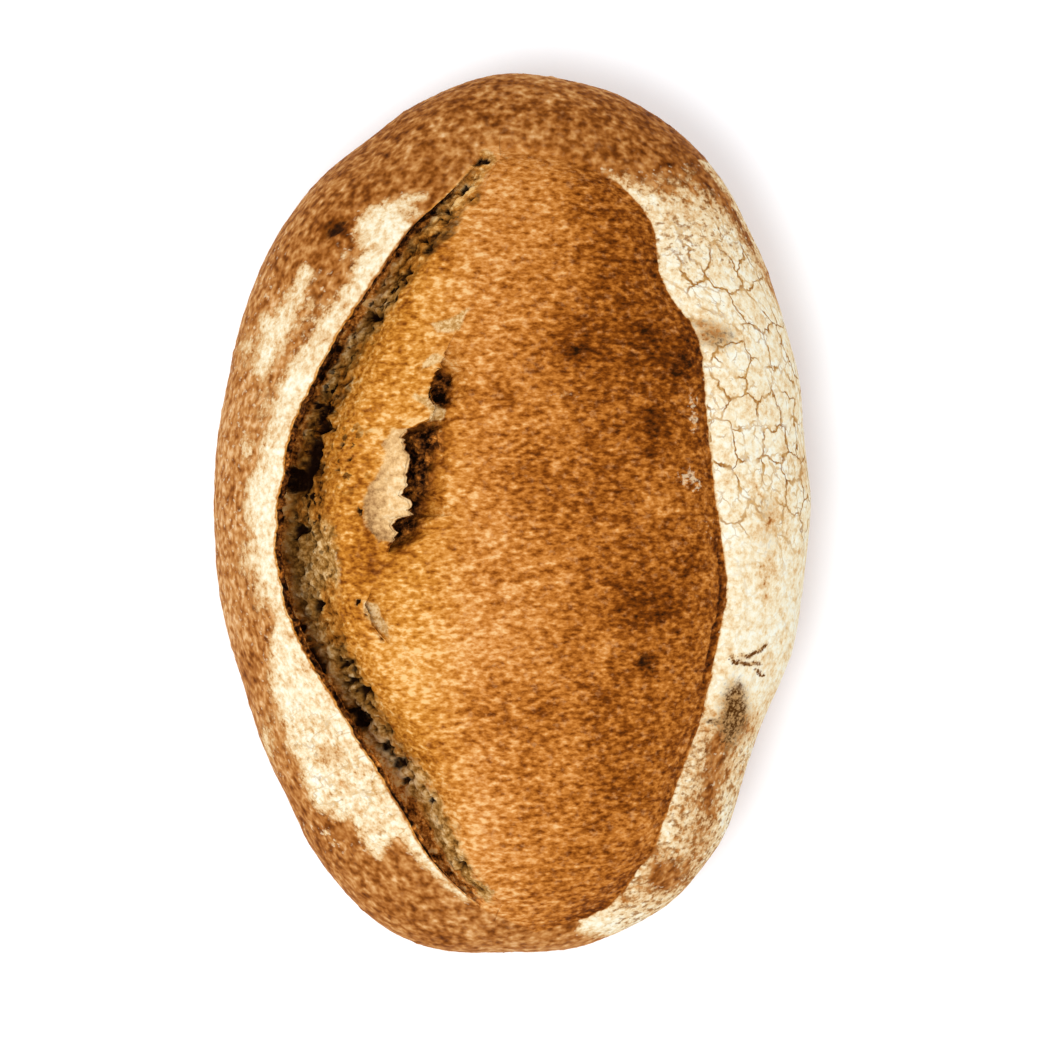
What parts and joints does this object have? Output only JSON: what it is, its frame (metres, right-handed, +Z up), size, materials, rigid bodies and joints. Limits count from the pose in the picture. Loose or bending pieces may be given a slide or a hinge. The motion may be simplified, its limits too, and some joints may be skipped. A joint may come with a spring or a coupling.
{
  "type": "sourdough loaf",
  "caption": "Oval hearth loaf with a flat foot, opened along one flank by a slash whose lip stands up as an ear over a torn crevice and a broad burst belly.",
  "frame": {"origin": "on the board, under the middle of the loaf's box", "axes": "+Y along the loaf from tail to head, +Z up from the flat foot, and the ear is on the -X side"},
  "size_m": [0.1828, 0.27, 0.0952],
  "materials": {
    "crust": "baked crust, matt golden brown, dusted with flour on the skins beside the slash"
  },
  "bodies": {
    "root": {"loaf": "crust"}
  },
  "joints": []
}
